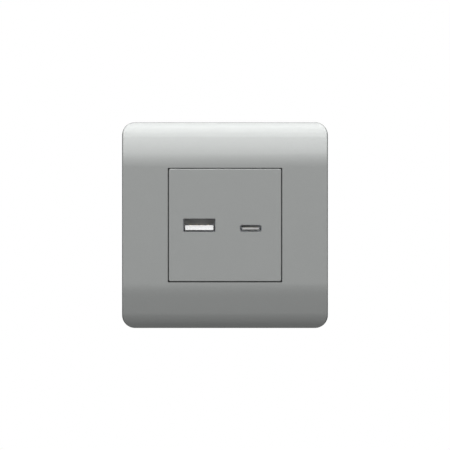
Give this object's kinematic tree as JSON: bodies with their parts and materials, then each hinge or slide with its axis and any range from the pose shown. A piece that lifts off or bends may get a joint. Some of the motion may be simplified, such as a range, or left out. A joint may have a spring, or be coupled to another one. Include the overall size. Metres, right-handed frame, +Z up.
{
  "type": "usb wall socket",
  "caption": "Square silver wall plate with curved-back top and bottom, a flush square charger module with a USB-A and a USB-C port, its wall frame and terminals.",
  "frame": {"origin": "centre of the plate in the wall's plane, midway between the two fixing screws", "axes": "+X right seen from the room, +Y into the wall, +Z up"},
  "size_m": [0.0824, 0.0363, 0.0824],
  "materials": {
    "silver_plastic": "satin metallic",
    "frame_plastic": "matte",
    "housing_plastic": "fine grain",
    "zinc_steel": "zinc plated",
    "spring_steel": "bright",
    "port_steel": "satin nickel",
    "white_plastic": "matte",
    "light_grey_plastic": "matte",
    "gold_contacts": "plated",
    "bar_brass": "bright",
    "board_green": "lacquered",
    "ferrite": "sintered",
    "winding_tape": "wrapped tape",
    "can_aluminium": "sleeved",
    "chip_black": "matte",
    "fuse_brown": "moulded",
    "varistor_blue": "dipped",
    "capacitor_yellow": "moulded"
  },
  "bodies": {
    "module": {"module_face": "silver_plastic", "mounting_frame": "frame_plastic", "module_housing": "housing_plastic", "fixing_screws": "zinc_steel", "plate_catches": "spring_steel", "usb_a_shell": "port_steel", "usb_c_shell": "port_steel", "usb_a_tongue": "white_plastic", "board_link": "white_plastic", "transformer_bobbin": "white_plastic", "usb_c_tongue": "light_grey_plastic", "usb_a_contacts": "gold_contacts", "usb_c_contacts": "gold_contacts", "terminal_bar_live": "bar_brass", "terminal_bar_neutral": "bar_brass", "power_board": "board_green", "port_board": "board_green", "transformer_core": "ferrite", "input_choke": "ferrite", "transformer_winding": "winding_tape", "mains_capacitors": "can_aluminium", "output_capacitors": "can_aluminium", "bridge_rectifier": "chip_black", "power_chip": "chip_black", "output_rectifier": "chip_black", "port_controller": "chip_black", "fuse": "fuse_brown", "varistor": "varistor_blue", "safety_capacitor": "capacitor_yellow"},
    "front_plate": {"front_plate": "silver_plastic"},
    "live_screw": {"terminal_screw_live": "zinc_steel"},
    "live_cage": {"terminal_cage_live": "zinc_steel"},
    "neutral_screw": {"terminal_screw_neutral": "zinc_steel"},
    "neutral_cage": {"terminal_cage_neutral": "zinc_steel"}
  },
  "joints": [
    {"name": "plate_pull", "type": "slide", "parent": "module", "child": "front_plate", "axis": [0, -1, 0], "range_m": [0, 0.02], "deforming": ["plate_catches"]},
    {"name": "live_screw_turn", "type": "hinge", "parent": "module", "child": "live_screw", "pos_m": [0.0085, 0.0212, -0.0162], "axis": [0, -1, 0], "range_deg": [0, 2160]},
    {"name": "live_cage_rise", "type": "slide", "parent": "module", "child": "live_cage", "axis": [0, 1, 0], "range_m": [0, 0.003]},
    {"name": "neutral_screw_turn", "type": "hinge", "parent": "module", "child": "neutral_screw", "pos_m": [-0.0085, 0.0212, -0.0162], "axis": [0, -1, 0], "range_deg": [0, 2160]},
    {"name": "neutral_cage_rise", "type": "slide", "parent": "module", "child": "neutral_cage", "axis": [0, 1, 0], "range_m": [0, 0.003]}
  ],
  "couplings": [
    {"joint": "live_screw_turn", "follows": "live_cage_rise", "rad_per_m": 12566},
    {"joint": "neutral_screw_turn", "follows": "neutral_cage_rise", "rad_per_m": 12566}
  ]
}
